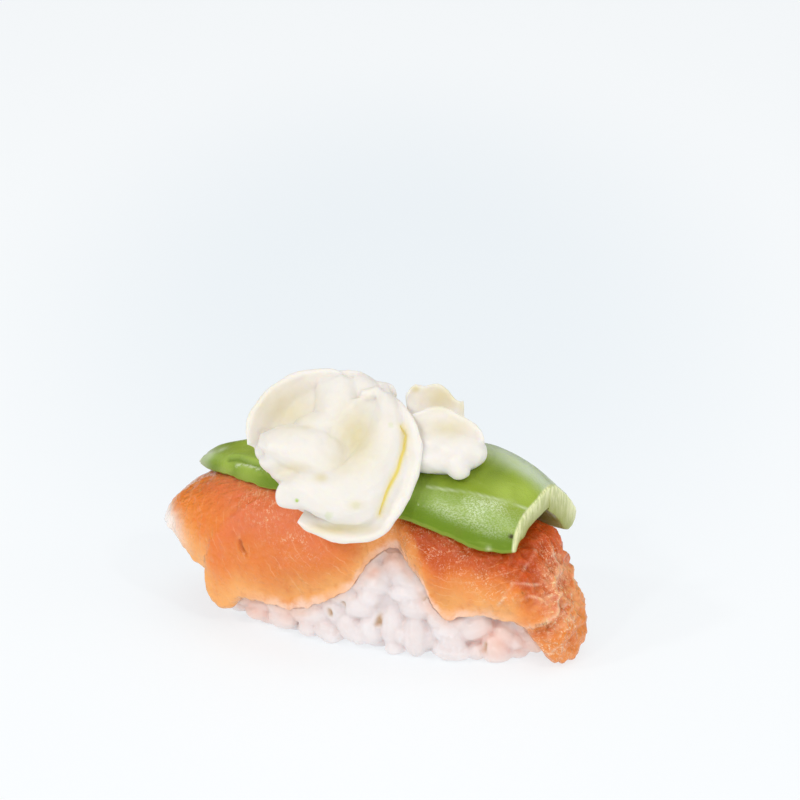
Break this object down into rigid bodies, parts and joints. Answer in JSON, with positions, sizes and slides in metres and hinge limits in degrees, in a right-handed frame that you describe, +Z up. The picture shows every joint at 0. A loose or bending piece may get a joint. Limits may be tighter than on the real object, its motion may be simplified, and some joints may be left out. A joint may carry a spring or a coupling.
{
  "type": "salmon nigiri with avocado and cream cheese",
  "caption": "Pressed rice block under a draped salmon slice, topped with a curved avocado slice and spooned curls of cream cheese.",
  "frame": {"origin": "under the middle of the whole, on the surface it rests on", "axes": "+X along the length towards the lower end of the salmon, +Z up"},
  "size_m": [0.073, 0.0332, 0.0432],
  "materials": {
    "rice": "moist, translucent cooked rice",
    "salmon": "moist smoked salmon",
    "avocado": "smooth, slightly moist flesh",
    "cream": "soft, smooth cream cheese"
  },
  "bodies": {
    "root": {"rice": "rice", "salmon": "salmon", "avocado": "avocado", "cream_rosette": "cream", "cream_dollop": "cream"}
  },
  "joints": []
}
